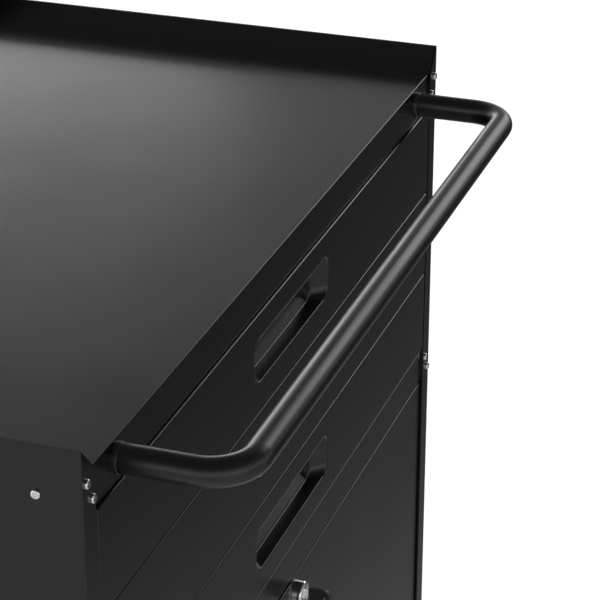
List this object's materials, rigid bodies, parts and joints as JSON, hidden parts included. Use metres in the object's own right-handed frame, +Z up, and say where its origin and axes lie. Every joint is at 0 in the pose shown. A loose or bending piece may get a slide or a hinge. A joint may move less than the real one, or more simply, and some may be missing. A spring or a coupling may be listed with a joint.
{
  "type": "rolling tool chest",
  "caption": "Steel rolling tool chest with drawers on ball slides over a two-door locking cupboard, a tray top, a tubular push handle and braked casters.",
  "frame": {"origin": "middle of the bounding box on the floor, under the wheels", "axes": "+X to the chest's right as seen from its front, +Y from the front to the back, +Z up"},
  "size_m": [0.8544, 0.6026, 0.89],
  "materials": {
    "body_paint": "satin black powder coat",
    "handle_paint": "semi-gloss black powder coat",
    "drawer_paint": "matt black powder coat",
    "liner_foam": "ribbed matt liner",
    "zinc_steel": "bright zinc plated",
    "chrome": "polished",
    "key_plastic": "moulded satin",
    "catch_plastic": "moulded",
    "pedal_plastic": "moulded",
    "tyre_rubber": "matt",
    "wheel_plastic": "moulded"
  },
  "bodies": {
    "chest": {"side_panel_left": "body_paint", "side_panel_right": "body_paint", "back_panel": "body_paint", "top_tray": "body_paint", "cross_rail": "body_paint", "divider_shelf": "body_paint", "base_panel": "body_paint", "drawer_uprights": "zinc_steel", "panel_screws": "chrome", "push_handle": "handle_paint", "handle_bolts": "zinc_steel", "slide_outer_members": "zinc_steel", "door_pivot_pins": "zinc_steel", "door_catches": "catch_plastic", "caster_plates": "zinc_steel", "caster_bolts": "zinc_steel", "swivel_kingpins": "zinc_steel", "fixed_forks": "zinc_steel", "fixed_axles": "zinc_steel"},
    "drawer_1": {"drawer_1_front": "body_paint", "drawer_1_box": "drawer_paint", "drawer_1_liner": "liner_foam", "drawer_1_inner_slides": "zinc_steel"},
    "middle_slides_1": {"drawer_1_middle_slides": "zinc_steel"},
    "drawer_2": {"drawer_2_front": "body_paint", "drawer_2_box": "drawer_paint", "drawer_2_liner": "liner_foam", "drawer_2_inner_slides": "zinc_steel"},
    "middle_slides_2": {"drawer_2_middle_slides": "zinc_steel"},
    "drawer_3": {"drawer_3_front": "body_paint", "drawer_3_box": "drawer_paint", "drawer_3_liner": "liner_foam", "drawer_3_inner_slides": "zinc_steel"},
    "middle_slides_3": {"drawer_3_middle_slides": "zinc_steel"},
    "door_left": {"door_left_panel": "body_paint", "door_left_inner": "body_paint"},
    "door_right": {"door_right_panel": "body_paint", "door_right_inner": "body_paint", "lock_housing": "chrome", "lock_nut": "zinc_steel"},
    "lock": {"lock_plug": "chrome", "lock_cam": "zinc_steel", "cam_screw": "zinc_steel"},
    "key": {"key_blade": "chrome", "key_bow": "key_plastic"},
    "caster_fork_front_left": {"swivel_fork_front_left": "zinc_steel", "swivel_axle_front_left": "zinc_steel"},
    "brake_front_left": {"brake_pedal_front_left": "pedal_plastic"},
    "caster_fork_front_right": {"swivel_fork_front_right": "zinc_steel", "swivel_axle_front_right": "zinc_steel"},
    "brake_front_right": {"brake_pedal_front_right": "pedal_plastic"},
    "wheel_front_left": {"tyre_front_left": "tyre_rubber", "wheel_hub_front_left": "wheel_plastic"},
    "wheel_front_right": {"tyre_front_right": "tyre_rubber", "wheel_hub_front_right": "wheel_plastic"},
    "wheel_rear_left": {"tyre_rear_left": "tyre_rubber", "wheel_hub_rear_left": "wheel_plastic"},
    "wheel_rear_right": {"tyre_rear_right": "tyre_rubber", "wheel_hub_rear_right": "wheel_plastic"}
  },
  "joints": [
    {"name": "drawer_1_slide", "type": "slide", "parent": "chest", "child": "drawer_1", "axis": [0, -1, 0], "range_m": [0, 0.4]},
    {"name": "middle_slides_1_travel", "type": "slide", "parent": "chest", "child": "middle_slides_1", "axis": [0, -1, 0], "range_m": [0, 0.2]},
    {"name": "drawer_2_slide", "type": "slide", "parent": "chest", "child": "drawer_2", "axis": [0, -1, 0], "range_m": [0, 0.4]},
    {"name": "middle_slides_2_travel", "type": "slide", "parent": "chest", "child": "middle_slides_2", "axis": [0, -1, 0], "range_m": [0, 0.2]},
    {"name": "drawer_3_slide", "type": "slide", "parent": "chest", "child": "drawer_3", "axis": [0, -1, 0], "range_m": [0, 0.4]},
    {"name": "middle_slides_3_travel", "type": "slide", "parent": "chest", "child": "middle_slides_3", "axis": [0, -1, 0], "range_m": [0, 0.2]},
    {"name": "door_left_hinge", "type": "hinge", "parent": "chest", "child": "door_left", "pos_m": [-0.3983, -0.19505, 0.345], "axis": [0, 0, -1], "range_deg": [0, 90]},
    {"name": "door_right_hinge", "type": "hinge", "parent": "chest", "child": "door_right", "pos_m": [0.3983, -0.19505, 0.345], "axis": [0, 0, 1], "range_deg": [0, 90]},
    {"name": "lock_turn", "type": "hinge", "parent": "door_right", "child": "lock", "pos_m": [0.02, -0.19855, 0.5067], "axis": [0, -1, 0], "range_deg": [0, 90]},
    {"name": "key_pull", "type": "slide", "parent": "lock", "child": "key", "axis": [0, -1, 0], "range_m": [0, 0.03]},
    {"name": "caster_swivel_front_left", "type": "hinge", "parent": "chest", "child": "caster_fork_front_left", "pos_m": [-0.37, -0.13885, 0.115], "axis": [0, 0, 1], "continuous": true},
    {"name": "wheel_spin_front_left", "type": "hinge", "parent": "caster_fork_front_left", "child": "wheel_front_left", "pos_m": [-0.37, -0.10485, 0.05], "axis": [1, 0, 0], "continuous": true},
    {"name": "brake_press_front_left", "type": "hinge", "parent": "caster_fork_front_left", "child": "brake_front_left", "pos_m": [-0.37, -0.09685, 0.1055], "axis": [-1, 0, 0], "range_deg": [0, 30]},
    {"name": "caster_swivel_front_right", "type": "hinge", "parent": "chest", "child": "caster_fork_front_right", "pos_m": [0.37, -0.13885, 0.115], "axis": [0, 0, 1], "continuous": true},
    {"name": "wheel_spin_front_right", "type": "hinge", "parent": "caster_fork_front_right", "child": "wheel_front_right", "pos_m": [0.37, -0.10485, 0.05], "axis": [1, 0, 0], "continuous": true},
    {"name": "brake_press_front_right", "type": "hinge", "parent": "caster_fork_front_right", "child": "brake_front_right", "pos_m": [0.37, -0.09685, 0.1055], "axis": [-1, 0, 0], "range_deg": [0, 30]},
    {"name": "wheel_spin_rear_left", "type": "hinge", "parent": "chest", "child": "wheel_rear_left", "pos_m": [-0.37, 0.23515, 0.05], "axis": [1, 0, 0], "continuous": true},
    {"name": "wheel_spin_rear_right", "type": "hinge", "parent": "chest", "child": "wheel_rear_right", "pos_m": [0.37, 0.23515, 0.05], "axis": [1, 0, 0], "continuous": true}
  ],
  "couplings": [
    {"joint": "middle_slides_1_travel", "follows": "drawer_1_slide", "ratio": 0.5},
    {"joint": "middle_slides_2_travel", "follows": "drawer_2_slide", "ratio": 0.5},
    {"joint": "middle_slides_3_travel", "follows": "drawer_3_slide", "ratio": 0.5}
  ]
}
